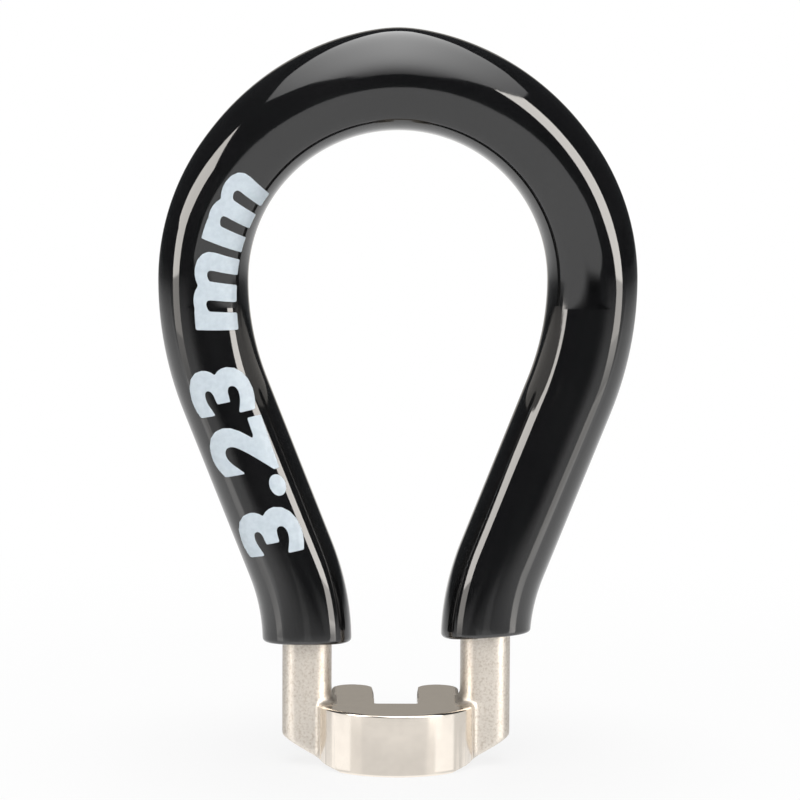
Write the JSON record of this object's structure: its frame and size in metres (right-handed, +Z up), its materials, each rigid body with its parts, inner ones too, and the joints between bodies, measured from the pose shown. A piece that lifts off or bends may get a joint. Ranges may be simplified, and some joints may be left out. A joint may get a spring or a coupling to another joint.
{
  "type": "spoke wrench",
  "caption": "Spoke wrench with an open jaw for a square nipple under a teardrop finger loop, cast in steel and dipped in a thick glossy vinyl grip.",
  "frame": {"origin": "on the axis of a seated nipple, level with the flat underside of the head", "axes": "+Z up through the finger loop along the spoke, +Y out of the jaw's open mouth, X across the two legs"},
  "size_m": [0.0358, 0.0132, 0.0551],
  "materials": {
    "nickel_steel": "nickel-plated casting, satin, with bright turned and milled faces on the head",
    "black_vinyl": "thick dipped vinyl, smooth and glossy",
    "white_print": "pad-printed numerals, slightly matt"
  },
  "bodies": {
    "root": {"jaw_casting": "nickel_steel", "vinyl_grip": "black_vinyl"}
  },
  "joints": []
}
